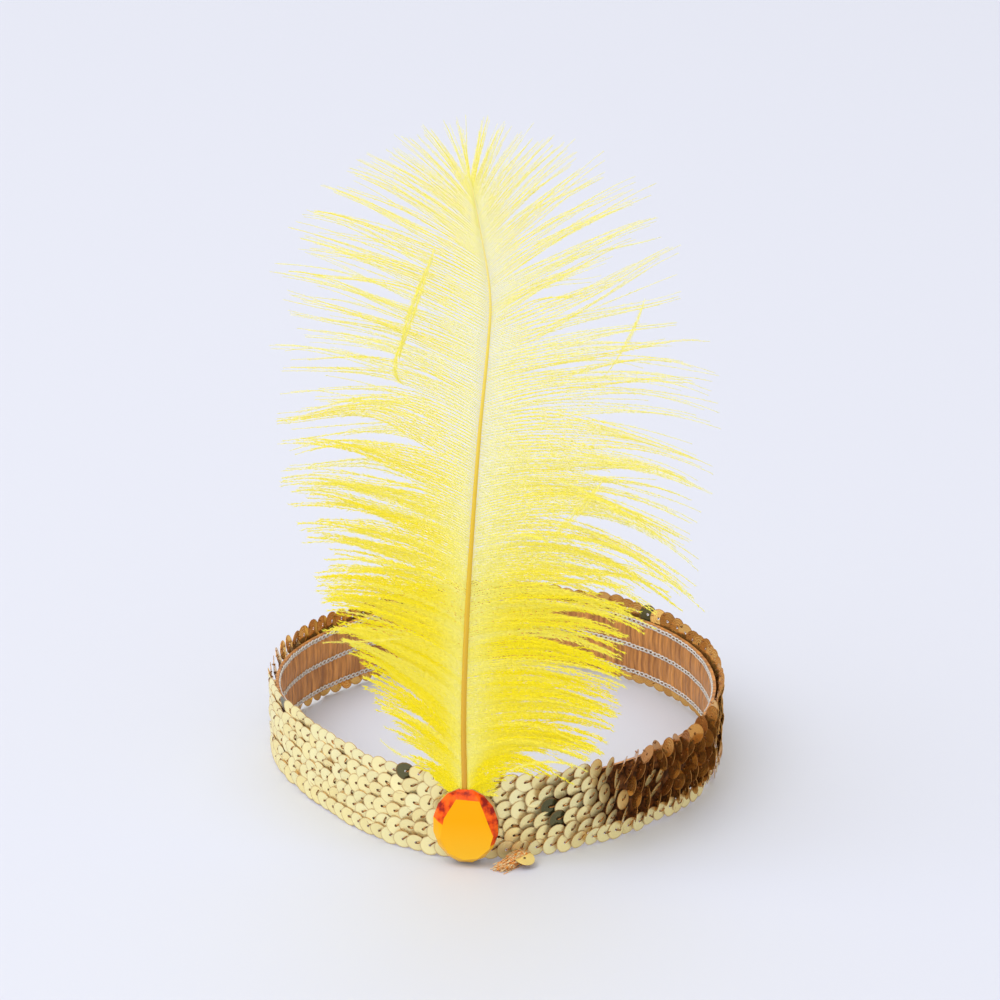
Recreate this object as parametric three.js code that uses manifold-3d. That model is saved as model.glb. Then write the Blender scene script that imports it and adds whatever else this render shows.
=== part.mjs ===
// Flapper feather headband: an elastic ring covered by three strings of flat gold sequins,
// with an oval amber stone at the front and an ostrich plume standing up behind the stone.
// Millimetres, +Z up, floor at z = 0, the stone and the plume face -Y.

import * as THREE from 'three';
import { ConvexGeometry } from 'three/addons/geometries/ConvexGeometry.js';
import { mergeVertices } from 'three/addons/utils/BufferGeometryUtils.js';
import Module from 'manifold-3d';

const wasm = await Module();
wasm.setup();

// Plan of the ring: the outside of the sequins is nearly a circle, pushed a little out of
// round by soft lobes. order is the number of lobes round the ring, out is how far each
// stands out and at is the angle of one lobe, counted from +X towards +Y.
const RING_RADIUS = 72.0;
const RING_LOBES = [
  { order: 1, out: 0.65, at: 163 },
  { order: 2, out: 0.45, at: -59 },
  { order: 3, out: 1.15, at: 38 },
  { order: 4, out: 1.35, at: 0 },
  { order: 5, out: 0.65, at: -32 },
];

// Elastic: a satin tape woven with elastic, standing on edge inside the sequins.
const ELASTIC_THICKNESS = 1.1;
const ELASTIC_HEIGHT = 20.5;
const ELASTIC_RAISE = 4.3;
const ELASTIC_STEPS = 72;
const ELASTIC_STEP_TURN = 2.5;

// Sequins: each row is a string of overlapping discs sewn on in a zigzag. A disc lies over
// its left neighbour, so its left edge stands out and its right edge is tucked under.
const SEQUIN_DIAMETER = 6.2;
const SEQUIN_LAYER = 2.0;
const SEQUIN_TUCK = 0.8;
const SEQUIN_SCALLOP = 1.3;
const SEQUINS_ROUND = 98;
const ROW_PITCH = 9.2;
const PIECE_GAP = 0.3;

// low_rim and high_rim are 1 where a row's edge is also an edge of the band, and shift is how
// far along its string starts, as a share of one sequin.
const SEQUIN_ROWS = [
  { name: 'sequin_row_lower', rows_below: 0, low_rim: 1, high_rim: 0, shift: 0.0 },
  { name: 'sequin_row_middle', rows_below: 1, low_rim: 0, high_rim: 0, shift: 0.4 },
  { name: 'sequin_row_upper', rows_below: 2, low_rim: 0, high_rim: 1, shift: 0.75 },
];
const ROW_ZIGZAG = ROW_PITCH / 4;
const ROW_HALF = (ROW_PITCH - PIECE_GAP) / 2;
const EDGE_OVERHANG = SEQUIN_DIAMETER / 2 + ROW_ZIGZAG - ROW_HALF;

// Three sections carry each disc: stand is how far it stands out of the tuck, high and low
// how much of the scallop it fills at its upper and lower edge.
const DISC_SECTIONS = [
  { along: 0.0, stand: 1.0, high: 0.8, low: 1.0 },
  { along: 0.34, stand: 0.6, high: 1.0, low: 1.0 },
  { along: 0.74, stand: 0.15, high: 0.0, low: 0.05 },
];

// Stone: an oval flatback. Its sides go straight out from the back to the girdle, and crown
// facets lean in from there, past a shoulder, to a large table a little off the middle.
const STONE_WIDTH = 20.2;
const STONE_HEIGHT = 25.2;
const STONE_RAISE = 0.7;
const STONE_ASIDE = -0.7;
const STONE_BASE = 2.3;
const STONE_CROWN = 2.7;
const STONE_SIDES = 16;
const CHANNEL_PLAY = 0.8;
const STONE_SHOULDER = { sides: 8, size: 0.92, out: 0.52 };

// Corners of the table, as shares of half the stone's width and half its height.
const TABLE_CORNERS = [
  { across: -0.25, up: 0.8 },
  { across: 0.45, up: 0.78 },
  { across: 0.86, up: -0.14 },
  { across: 0.75, up: -0.48 },
  { across: 0.4, up: -0.76 },
  { across: -0.05, up: -0.82 },
  { across: -0.5, up: -0.66 },
  { across: -0.74, up: -0.26 },
  { across: -0.62, up: 0.27 },
];

// Plume: a tapered quill with a vane of locks on each side.
const SHAFT_FOOT = 26.0;
const SHAFT_TOP = 218.0;
const QUILL_THICKNESS = 1.6;
const VANE_REACH = 70.0;
const LOCK_THICKNESS = 2.4;
const VANE_CUP = 9.0;
const SHAFT_CLEARANCE = 0.35;

// The shaft leans to the right on its way up and its tip hooks back to the left.
// up is a share of the shaft from its foot to its top, lean is in millimetres.
const SHAFT_LINE = [
  { up: -0.105, lean: -0.9, width: 2.0 },
  { up: 0.0, lean: -1.1, width: 2.0 },
  { up: 0.12, lean: -1.3, width: 1.9 },
  { up: 0.28, lean: -0.3, width: 1.8 },
  { up: 0.44, lean: 1.5, width: 1.6 },
  { up: 0.6, lean: 3.7, width: 1.5 },
  { up: 0.76, lean: 6.6, width: 1.3 },
  { up: 0.8, lean: 7.1, width: 1.2 },
  { up: 0.84, lean: 6.5, width: 1.2 },
  { up: 0.92, lean: 4.0, width: 1.1 },
  { up: 1.0, lean: 1.2, width: 1.0 },
];

// One row for each lock. root is where it leaves the shaft, as a share of the shaft; reach,
// rise and bow are shares of VANE_REACH: how far out and up its tip lies from its root, and
// how much it arches over the straight line between them. wide is its width in millimetres.
const LEFT_LOCKS = [
  { root: 0.03, reach: 0.2, rise: 0.15, bow: 0.02, wide: 8 },
  { root: 0.05, reach: 0.33, rise: 0.27, bow: 0.03, wide: 12 },
  { root: 0.08, reach: 0.44, rise: 0.38, bow: 0.04, wide: 15 },
  { root: 0.13, reach: 0.52, rise: 0.37, bow: 0.05, wide: 15 },
  { root: 0.2, reach: 0.6, rise: 0.26, bow: 0.05, wide: 15 },
  { root: 0.27, reach: 0.6, rise: 0.18, bow: 0.04, wide: 15 },
  { root: 0.34, reach: 0.6, rise: 0.16, bow: 0.04, wide: 15 },
  { root: 0.405, reach: 0.68, rise: 0.17, bow: 0.03, wide: 15 },
  { root: 0.47, reach: 0.79, rise: 0.16, bow: 0.03, wide: 15 },
  { root: 0.535, reach: 0.81, rise: 0.17, bow: 0.03, wide: 15 },
  { root: 0.6, reach: 0.79, rise: 0.19, bow: 0.04, wide: 15 },
  { root: 0.665, reach: 0.8, rise: 0.23, bow: 0.05, wide: 15 },
  { root: 0.725, reach: 0.8, rise: 0.29, bow: 0.06, wide: 14 },
  { root: 0.78, reach: 0.75, rise: 0.31, bow: 0.06, wide: 13 },
  { root: 0.83, reach: 0.67, rise: 0.32, bow: 0.04, wide: 12 },
  { root: 0.875, reach: 0.55, rise: 0.33, bow: 0.03, wide: 12 },
  { root: 0.92, reach: 0.41, rise: 0.3, bow: 0.02, wide: 11 },
  { root: 0.955, reach: 0.27, rise: 0.29, bow: 0.02, wide: 10 },
  { root: 0.985, reach: 0.1, rise: 0.27, bow: 0.01, wide: 9 },
];
const RIGHT_LOCKS = [
  { root: 0.03, reach: 0.22, rise: 0.13, bow: 0.03, wide: 8 },
  { root: 0.045, reach: 0.46, rise: 0.12, bow: 0.08, wide: 10 },
  { root: 0.08, reach: 0.58, rise: 0.09, bow: 0.06, wide: 12 },
  { root: 0.135, reach: 0.65, rise: 0.03, bow: 0.04, wide: 14 },
  { root: 0.2, reach: 0.66, rise: 0.02, bow: 0.02, wide: 15 },
  { root: 0.265, reach: 0.68, rise: 0.03, bow: 0.01, wide: 15 },
  { root: 0.325, reach: 0.74, rise: 0.01, bow: 0.0, wide: 15 },
  { root: 0.385, reach: 0.84, rise: -0.04, bow: 0.04, wide: 14 },
  { root: 0.44, reach: 0.95, rise: -0.07, bow: 0.09, wide: 14 },
  { root: 0.495, reach: 0.94, rise: -0.03, bow: 0.07, wide: 14 },
  { root: 0.55, reach: 0.94, rise: -0.02, bow: 0.05, wide: 14 },
  { root: 0.605, reach: 0.96, rise: 0.02, bow: 0.03, wide: 14 },
  { root: 0.655, reach: 0.92, rise: 0.09, bow: 0.03, wide: 13 },
  { root: 0.7, reach: 0.87, rise: 0.2, bow: 0.02, wide: 12 },
  { root: 0.74, reach: 0.81, rise: 0.31, bow: 0.0, wide: 11 },
  { root: 0.775, reach: 0.5, rise: 0.33, bow: 0.0, wide: 11 },
  { root: 0.81, reach: 0.66, rise: 0.4, bow: 0.0, wide: 11 },
  { root: 0.85, reach: 0.56, rise: 0.45, bow: 0.01, wide: 11 },
  { root: 0.89, reach: 0.44, rise: 0.44, bow: 0.01, wide: 11 },
  { root: 0.93, reach: 0.3, rise: 0.4, bow: 0.01, wide: 10 },
  { root: 0.965, reach: 0.16, rise: 0.34, bow: 0.01, wide: 9 },
];

// A lock is widest at the shaft, where it joins its neighbours, and runs out to a point.
const LOCK_SECTIONS = [
  { along: 0.0, wide: 1.25 },
  { along: 0.35, wide: 1.0 },
  { along: 0.72, wide: 0.85 },
  { along: 1.0, wide: 0.1 },
];

// Seam tail: the frayed end of the tape that comes out below the sequins beside the stone.
const TAIL_LENGTH = 6.5;
const TAIL_THICKNESS = 1.2;
const TAIL_TURN = -80;
const TAIL_SECTIONS = [
  { along: 0.0, aside: 0.0, wide: 4.6, lift: 0.9 },
  { along: 0.4, aside: -0.6, wide: 4.0, lift: 0.35 },
  { along: 0.75, aside: -1.9, wide: 3.2, lift: 0.1 },
  { along: 1.0, aside: -3.0, wide: 1.4, lift: 0.1 },
];

const radians = THREE.MathUtils.degToRad;

function ringRadius(turn) {
  let radius = RING_RADIUS;
  for (const lobe of RING_LOBES) {
    radius += lobe.out * Math.cos(lobe.order * (turn - radians(lobe.at)));
  }
  return radius;
}

function ringPoint(turn, inward, level) {
  const radius = ringRadius(turn) - inward;
  return new THREE.Vector3(radius * Math.cos(turn), radius * Math.sin(turn), level);
}

// Joins sections that all have the same number of corners: a ring closes on its first
// section, and a strand is closed by a fan over each end.
function joinSections(sections, isRing) {
  const corners = sections[0].length;
  const points = sections.flat();
  const faces = [];
  const spans = isRing ? sections.length : sections.length - 1;
  for (let s = 0; s < spans; s += 1) {
    const here = s * corners;
    const next = ((s + 1) % sections.length) * corners;
    for (let c = 0; c < corners; c += 1) {
      const d = (c + 1) % corners;
      faces.push([here + c, next + c, next + d]);
      faces.push([here + c, next + d, here + d]);
    }
  }
  if (!isRing) {
    const last = (sections.length - 1) * corners;
    for (let c = 1; c < corners - 1; c += 1) {
      faces.push([0, c, c + 1]);
      faces.push([last, last + c + 1, last + c]);
    }
  }
  let volume = 0;
  for (const [a, b, c] of faces) {
    volume += points[a].dot(new THREE.Vector3().crossVectors(points[b], points[c]));
  }
  const outward = volume > 0 ? faces : faces.map(([a, b, c]) => [a, c, b]);
  const geometry = new THREE.BufferGeometry();
  const positions = points.flatMap((p) => [p.x, p.y, p.z]);
  geometry.setAttribute('position', new THREE.Float32BufferAttribute(positions, 3));
  geometry.setIndex(outward.flat());
  return geometry;
}

function toSolid(geometry) {
  const mesh = new wasm.Mesh({
    numProp: 3,
    vertProperties: new Float32Array(geometry.attributes.position.array),
    triVerts: new Uint32Array(geometry.index.array),
  });
  return new wasm.Manifold(mesh);
}

function toGeometry(solid) {
  const mesh = solid.getMesh();
  const geometry = new THREE.BufferGeometry();
  const positions = new Float32Array(mesh.vertProperties);
  geometry.setAttribute('position', new THREE.BufferAttribute(positions, 3));
  geometry.setIndex(new THREE.BufferAttribute(new Uint32Array(mesh.triVerts), 1));
  return geometry;
}

const headband = new THREE.Group();

function addPiece(name, geometry, color, roughness, metalness) {
  geometry.computeVertexNormals();
  const material = new THREE.MeshStandardMaterial({ color, roughness, metalness });
  const mesh = new THREE.Mesh(geometry, material);
  mesh.name = name;
  headband.add(mesh);
}

// Elastic band

function elasticBand() {
  const back = SEQUIN_LAYER + PIECE_GAP;
  const sections = [];
  for (let s = 0; s < ELASTIC_STEPS; s += 1) {
    const turn = radians((s * 360) / ELASTIC_STEPS + ELASTIC_STEP_TURN);
    const low = ELASTIC_RAISE;
    const high = ELASTIC_RAISE + ELASTIC_HEIGHT;
    sections.push([
      ringPoint(turn, back + ELASTIC_THICKNESS, low),
      ringPoint(turn, back + ELASTIC_THICKNESS, high),
      ringPoint(turn, back, high),
      ringPoint(turn, back, low),
    ]);
  }
  return joinSections(sections, true);
}
addPiece('elastic_band', elasticBand(), 0xb07c48, 0.6, 0.1);

// Sequin rows

function sequinRow(row) {
  const middle = SEQUIN_DIAMETER / 2 + ROW_ZIGZAG + row.rows_below * ROW_PITCH;
  const low = middle - ROW_HALF - row.low_rim * EDGE_OVERHANG;
  const high = middle + ROW_HALF + row.high_rim * EDGE_OVERHANG;
  const sections = [];
  for (let disc = 0; disc < SEQUINS_ROUND; disc += 1) {
    for (const part of DISC_SECTIONS) {
      const turn = radians(((disc + part.along + row.shift) * 360) / SEQUINS_ROUND);
      const inward = SEQUIN_TUCK * (1 - part.stand);
      const top = high - SEQUIN_SCALLOP * (1 - part.high);
      const bottom = low + SEQUIN_SCALLOP * (1 - part.low);
      sections.push([
        ringPoint(turn, SEQUIN_LAYER, bottom),
        ringPoint(turn, SEQUIN_LAYER, top),
        ringPoint(turn, inward, top),
        ringPoint(turn, inward, bottom),
      ]);
    }
  }
  return joinSections(sections, true);
}
for (const row of SEQUIN_ROWS) {
  addPiece(row.name, sequinRow(row), 0xe6cc8e, 0.3, 0.8);
}

// Plume

const FRONT = ringRadius(radians(-90));
const PLUME_FACE = -(FRONT + SHAFT_CLEARANCE + LOCK_THICKNESS / 2);
const SHAFT_LENGTH = SHAFT_TOP - SHAFT_FOOT;

function shaftAt(up) {
  const rows = SHAFT_LINE;
  let k = 0;
  while (k < rows.length - 2 && up > rows[k + 1].up) k += 1;
  const share = (up - rows[k].up) / (rows[k + 1].up - rows[k].up);
  const lean = THREE.MathUtils.lerp(rows[k].lean, rows[k + 1].lean, share);
  const width = THREE.MathUtils.lerp(rows[k].width, rows[k + 1].width, share);
  return { lean, width, level: SHAFT_FOOT + up * SHAFT_LENGTH };
}

function plumeShaft() {
  const sides = 6;
  const sections = SHAFT_LINE.map((row) => {
    const here = shaftAt(row.up);
    const corners = [];
    for (let c = 0; c < sides; c += 1) {
      const turn = ((c + 0.5) * 2 * Math.PI) / sides;
      const deep = Math.min(QUILL_THICKNESS, here.width) / 2;
      const x = here.lean + (here.width / 2) * Math.cos(turn);
      corners.push(new THREE.Vector3(x, PLUME_FACE + deep * Math.sin(turn), here.level));
    }
    return corners;
  });
  return joinSections(sections, false);
}

function plumeLock(row, side) {
  const here = shaftAt(row.root);
  const reach = row.reach * VANE_REACH * side;
  const rise = row.rise * VANE_REACH;
  const bow = row.bow * VANE_REACH * 2;
  const root = new THREE.Vector2(here.lean, here.level);
  const tip = new THREE.Vector2(here.lean + reach, here.level + rise);
  const across = new THREE.Vector2(-rise, reach).normalize().multiplyScalar(side);
  const crest = root.clone().lerp(tip, 0.5).addScaledVector(across, bow);
  const curve = new THREE.QuadraticBezierCurve(root, crest, tip);
  const sections = LOCK_SECTIONS.map((part) => {
    const at = curve.getPoint(part.along);
    const run = curve.getTangent(part.along);
    const half = (row.wide * part.wide) / 2;
    const thin = (LOCK_THICKNESS / 2) * (0.45 + 0.55 * (1 - part.along));
    const out = Math.abs(at.x - here.lean) / VANE_REACH;
    const y = PLUME_FACE - VANE_CUP * out * out;
    return [
      new THREE.Vector3(at.x - run.y * half, y, at.y + run.x * half),
      new THREE.Vector3(at.x, y - thin, at.y),
      new THREE.Vector3(at.x + run.y * half, y, at.y - run.x * half),
      new THREE.Vector3(at.x, y + thin, at.y),
    ];
  });
  return joinSections(sections, false);
}

let plume = toSolid(plumeShaft());
for (const row of LEFT_LOCKS) plume = plume.add(toSolid(plumeLock(row, -1)));
for (const row of RIGHT_LOCKS) plume = plume.add(toSolid(plumeLock(row, 1)));
addPiece('ostrich_plume', toGeometry(plume), 0xf2df4e, 0.8, 0.0);

// Stone

const STONE_BACK = -(FRONT + PIECE_GAP);

function stonePoint(across, up, out) {
  const x = STONE_ASIDE + (across * STONE_WIDTH) / 2;
  const z = STONE_RAISE + ((1 + up) * STONE_HEIGHT) / 2;
  return new THREE.Vector3(x, STONE_BACK - out, z);
}

function ovalCorners(size, out, sides) {
  const corners = [];
  for (let c = 0; c < sides; c += 1) {
    const angle = ((c + 0.5) * 2 * Math.PI) / sides;
    corners.push(stonePoint(size * Math.cos(angle), size * Math.sin(angle), out));
  }
  return corners;
}

function onlyPositions(geometry) {
  geometry.deleteAttribute('normal');
  geometry.deleteAttribute('uv');
  return mergeVertices(geometry);
}

function stoneBody() {
  const shoulder = STONE_BASE + STONE_SHOULDER.out * STONE_CROWN;
  const points = [
    ...ovalCorners(1, 0, STONE_SIDES),
    ...ovalCorners(1, STONE_BASE, STONE_SIDES),
    ...ovalCorners(STONE_SHOULDER.size, shoulder, STONE_SHOULDER.sides),
    ...TABLE_CORNERS.map((c) => stonePoint(c.across, c.up, STONE_BASE + STONE_CROWN)),
  ];
  return toSolid(onlyPositions(new ConvexGeometry(points)));
}

// The back of the stone is channelled for the quill, which ends behind it.
function quillChannel() {
  const foot = shaftAt(SHAFT_LINE[0].up);
  const wide = foot.width + 2 * PIECE_GAP + CHANNEL_PLAY;
  const back = STONE_BACK + 1;
  const front = PLUME_FACE - QUILL_THICKNESS / 2 - PIECE_GAP;
  const low = foot.level - 2 * PIECE_GAP;
  const high = STONE_RAISE + STONE_HEIGHT + 1;
  const channel = new THREE.BoxGeometry(wide, back - front, high - low);
  channel.translate(foot.lean, (back + front) / 2, (low + high) / 2);
  return toSolid(onlyPositions(channel));
}
addPiece('stone', toGeometry(stoneBody().subtract(quillChannel())), 0xf6a615, 0.08, 0.0);

// Seam tail

function seamTail() {
  const turn = radians(TAIL_TURN);
  const out = new THREE.Vector3(Math.cos(turn), Math.sin(turn), 0);
  const along = new THREE.Vector3(-Math.sin(turn), Math.cos(turn), 0);
  const start = ringRadius(turn) + PIECE_GAP;
  const sections = TAIL_SECTIONS.map((part) => {
    const middle = out.clone().multiplyScalar(start + part.along * TAIL_LENGTH);
    middle.addScaledVector(along, part.aside);
    const left = middle.clone().addScaledVector(along, -part.wide / 2);
    const right = middle.clone().addScaledVector(along, part.wide / 2);
    const low = part.lift;
    const high = part.lift + TAIL_THICKNESS;
    return [
      new THREE.Vector3(left.x, left.y, low),
      new THREE.Vector3(right.x, right.y, low),
      new THREE.Vector3(right.x, right.y, high),
      new THREE.Vector3(left.x, left.y, high),
    ];
  });
  return joinSections(sections, false);
}
addPiece('seam_tail', seamTail(), 0xc8803a, 0.7, 0.1);

// The headband stands on the floor with the middle of its outline over the origin.
const outline = new THREE.Box3().setFromObject(headband);
headband.position.x = -(outline.min.x + outline.max.x) / 2;
headband.position.y = -(outline.min.y + outline.max.y) / 2;

export default headband;
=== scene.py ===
import math

import bpy
import numpy as np
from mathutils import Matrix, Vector


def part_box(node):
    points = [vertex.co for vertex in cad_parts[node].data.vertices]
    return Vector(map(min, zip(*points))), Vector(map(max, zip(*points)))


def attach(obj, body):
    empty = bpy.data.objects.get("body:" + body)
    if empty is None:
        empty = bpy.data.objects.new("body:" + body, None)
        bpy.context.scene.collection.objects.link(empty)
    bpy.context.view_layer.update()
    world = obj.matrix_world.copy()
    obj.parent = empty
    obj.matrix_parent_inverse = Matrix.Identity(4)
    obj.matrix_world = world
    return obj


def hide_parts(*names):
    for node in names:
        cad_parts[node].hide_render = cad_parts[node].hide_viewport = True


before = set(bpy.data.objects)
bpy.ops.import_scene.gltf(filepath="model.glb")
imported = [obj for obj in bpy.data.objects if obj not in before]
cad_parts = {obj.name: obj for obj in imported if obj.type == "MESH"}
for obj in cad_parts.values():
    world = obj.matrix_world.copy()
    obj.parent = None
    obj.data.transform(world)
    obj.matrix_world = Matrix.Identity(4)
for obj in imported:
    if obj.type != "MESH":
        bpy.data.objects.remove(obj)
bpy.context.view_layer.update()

# Camera
# A long lens looks down on the front of the headband from a little to the right of its middle.

CAMERA_PLACE = (0.14246, -1.10773, 0.55346)
CAMERA_TILT = 67.5
CAMERA_TURN = 7.2
CAMERA_LENS = 139.5

turned = (math.radians(CAMERA_TILT), 0.0, math.radians(CAMERA_TURN))
bpy.ops.object.camera_add(location=CAMERA_PLACE, rotation=turned)
camera = bpy.context.object
camera.data.lens = CAMERA_LENS
camera.data.sensor_width = 36.0
camera.data.clip_end = 30.0
bpy.context.scene.camera = camera

# Floor and light
# A pale table top in an evenly lit room, with one big soft light at the front left and the room
# dark at the right, which the gold discs there mirror.

FLOOR_COLOR = (0.668, 0.684, 0.765, 1.0)
FLOOR_SIZE = 14.0
KEY_PLACE = (-1.55, -1.35, 3.2)
KEY_SIZE = 3.4
KEY_POWER = 60.0
ROOM_STRENGTH = 1.02
DARK_SIDE = (0.82, 0.55, 0.16)


def new_material(name):
    material = bpy.data.materials.new(name)
    material.use_nodes = True
    tree = material.node_tree
    return material, tree.nodes, tree.links, tree.nodes["Principled BSDF"]


def soft_light(name, place, size, power):
    bpy.ops.object.light_add(type="AREA", location=place)
    light = bpy.context.object
    light.name = name
    light.data.shape = "DISK"
    light.data.size = size
    light.data.energy = power
    light.rotation_euler = (-Vector(place)).to_track_quat("-Z", "Y").to_euler()
    return light


bpy.ops.object.select_all(action="DESELECT")
bpy.ops.mesh.primitive_plane_add(size=FLOOR_SIZE, location=(0.0, 0.0, 0.0))
floor = bpy.context.object
floor.name = "floor"
floor_paint, nodes, links, shader = new_material("floor_paint")
shader.inputs["Base Color"].default_value = FLOOR_COLOR
shader.inputs["Roughness"].default_value = 0.55
shader.inputs["Specular IOR Level"].default_value = 0.25
floor.data.materials.append(floor_paint)

soft_light("key_light", KEY_PLACE, KEY_SIZE, KEY_POWER)
room = bpy.data.worlds.new("room")
room.use_nodes = True
nodes, links = room.node_tree.nodes, room.node_tree.links
direction = nodes.new("ShaderNodeTexCoord")
toward_dark = nodes.new("ShaderNodeVectorMath")
toward_dark.operation = "DOT_PRODUCT"
toward_dark.inputs[1].default_value = DARK_SIDE
dark_share = nodes.new("ShaderNodeMapRange")
dark_share.interpolation_type = "SMOOTHSTEP"
dark_share.inputs["From Min"].default_value = 0.70
dark_share.inputs["From Max"].default_value = 0.92
room_tone = nodes.new("ShaderNodeValToRGB")
room_tone.color_ramp.elements[0].color = (0.97, 0.98, 1.0, 1.0)
room_tone.color_ramp.elements[1].color = (0.44, 0.31, 0.19, 1.0)
links.new(direction.outputs["Generated"], toward_dark.inputs[0])
links.new(toward_dark.outputs["Value"], dark_share.inputs["Value"])
links.new(dark_share.outputs["Result"], room_tone.inputs["Fac"])
links.new(room_tone.outputs["Color"], nodes["Background"].inputs["Color"])
room.node_tree.nodes["Background"].inputs["Strength"].default_value = ROOM_STRENGTH
bpy.context.scene.world = room
bpy.context.scene.view_settings.view_transform = "Standard"

# Elastic tape
# A copper satin tape woven over elastic, which carries the sequins. It is one loop, closed by a
# seam at the front, and it puckers in ribs between the three lines of stitching.

TAPE_WALL = 0.0011
TAPE_STEPS = 432
TAPE_CUTS = 9
TAPE_BULGE = 0.00035
TAPE_RIPPLE = 0.00016
ROW_LEVELS = (0.0054, 0.0146, 0.0238)
LOBE_ORDERS = 6
WEAVE_RADIUS = 68.0


def node_points(name):
    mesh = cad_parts[name].data
    points = np.empty(len(mesh.vertices) * 3)
    mesh.vertices.foreach_get("co", points)
    return points.reshape(-1, 3)


def mesh_points(mesh):
    points = np.empty(len(mesh.vertices) * 3)
    mesh.vertices.foreach_get("co", points)
    return points.reshape(-1, 3)


# The band's plan comes from the tape's solid: a circle through it gives the middle, and a few
# lobes about that circle give the radius of the tape's middle line at each angle.
wall = node_points("elastic_band")
fit = np.column_stack([2 * wall[:, 0], 2 * wall[:, 1], np.ones(len(wall))])
found = np.linalg.lstsq(fit, (wall[:, :2] ** 2).sum(axis=1), rcond=None)[0]
BAND_MIDDLE = found[:2]


def lobe_terms(turn):
    terms = [np.ones_like(turn)]
    for order in range(1, LOBE_ORDERS + 1):
        terms += [np.cos(order * turn), np.sin(order * turn)]
    return np.column_stack(terms)


away = wall[:, :2] - BAND_MIDDLE
wall_turns = np.arctan2(away[:, 1], away[:, 0])
lobes = np.linalg.lstsq(lobe_terms(wall_turns), np.hypot(away[:, 0], away[:, 1]), rcond=None)[0]


def band_point(turn, outward, level):
    """A place on the band: its angle, how far outside the tape's middle line, and its height."""
    turn, outward, level = np.broadcast_arrays(np.atleast_1d(turn), outward, level)
    radius = lobe_terms(turn) @ lobes + outward
    x = BAND_MIDDLE[0] + radius * np.cos(turn)
    y = BAND_MIDDLE[1] + radius * np.sin(turn)
    return np.column_stack([x, y, level])


def band_directions(turn):
    """Outward and along the band at an angle, both level."""
    step = 0.001
    along = band_point(turn + step, 0.0, 0.0) - band_point(turn - step, 0.0, 0.0)
    along /= np.linalg.norm(along, axis=1)[:, None]
    outward = np.column_stack([along[:, 1], -along[:, 0], np.zeros(len(along))])
    return outward, along


tape_low, tape_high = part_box("elastic_band")
bpy.ops.object.select_all(action="DESELECT")
bpy.ops.mesh.primitive_cylinder_add(
    vertices=TAPE_STEPS,
    radius=lobes[0],
    depth=tape_high[2] - tape_low[2],
    end_fill_type="NOTHING",
    location=(BAND_MIDDLE[0], BAND_MIDDLE[1], (tape_low[2] + tape_high[2]) / 2),
)
tape = bpy.context.object
tape.name = "elastic_tape"
bpy.ops.object.transform_apply(location=True, rotation=True, scale=True)
bpy.ops.object.mode_set(mode="EDIT")
for cut in range(1, TAPE_CUTS + 1):
    level = tape_low[2] + (tape_high[2] - tape_low[2]) * cut / (TAPE_CUTS + 1)
    bpy.ops.mesh.select_all(action="SELECT")
    bpy.ops.mesh.bisect(plane_co=(0.0, 0.0, level), plane_no=(0.0, 0.0, 1.0))
bpy.ops.object.mode_set(mode="OBJECT")

points = mesh_points(tape.data)
turns = np.arctan2(points[:, 1] - BAND_MIDDLE[1], points[:, 0] - BAND_MIDDLE[0])
from_row = np.min(np.abs(points[:, 2:3] - np.array(ROW_LEVELS)), axis=1) / 0.0046
bulge = TAPE_BULGE * np.sin(np.clip(from_row, 0, 1) * math.pi / 2) ** 2
ripple = np.sin(turns * 96 + 2.0 * np.sin(turns * 5)) + 0.6 * np.sin(turns * 61 + points[:, 2] * 160)
inner = -TAPE_WALL / 2 - bulge + TAPE_RIPPLE * ripple * np.clip(from_row, 0, 1)
tape.data.vertices.foreach_set("co", band_point(turns, inner, points[:, 2]).ravel())
solid = tape.modifiers.new("wall", "SOLIDIFY")
solid.thickness = TAPE_WALL * 0.85
solid.offset = 1.0
bpy.ops.object.modifier_apply(modifier="wall")
bpy.ops.object.shade_smooth_by_angle(angle=math.radians(40))

# The weave's map: across is the length along the tape and up is the height, in millimetres.
weave_map = tape.data.uv_layers.new(name="weave")
points = mesh_points(tape.data)
TAPE_SEAM = math.radians(-80)
for face in tape.data.polygons:
    middle = math.atan2(face.center[1] - BAND_MIDDLE[1], face.center[0] - BAND_MIDDLE[0])
    middle = TAPE_SEAM + (middle - TAPE_SEAM) % (2 * math.pi)
    for corner in face.loop_indices:
        place = points[tape.data.loops[corner].vertex_index]
        turn = math.atan2(place[1] - BAND_MIDDLE[1], place[0] - BAND_MIDDLE[0])
        turn = middle + (turn - middle + math.pi) % (2 * math.pi) - math.pi
        weave_map.data[corner].uv = (turn * WEAVE_RADIUS, place[2] * 1000)

satin, nodes, links, shader = new_material("copper_satin")
weave = nodes.new("ShaderNodeUVMap")
weave.uv_map = "weave"
rib_place = nodes.new("ShaderNodeMapping")
rib_place.inputs["Scale"].default_value = (0.75, 0.06, 1.0)
ribs = nodes.new("ShaderNodeTexNoise")
ribs.inputs["Scale"].default_value = 1.0
ribs.inputs["Detail"].default_value = 3.0
ribs.inputs["Roughness"].default_value = 0.6
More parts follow.
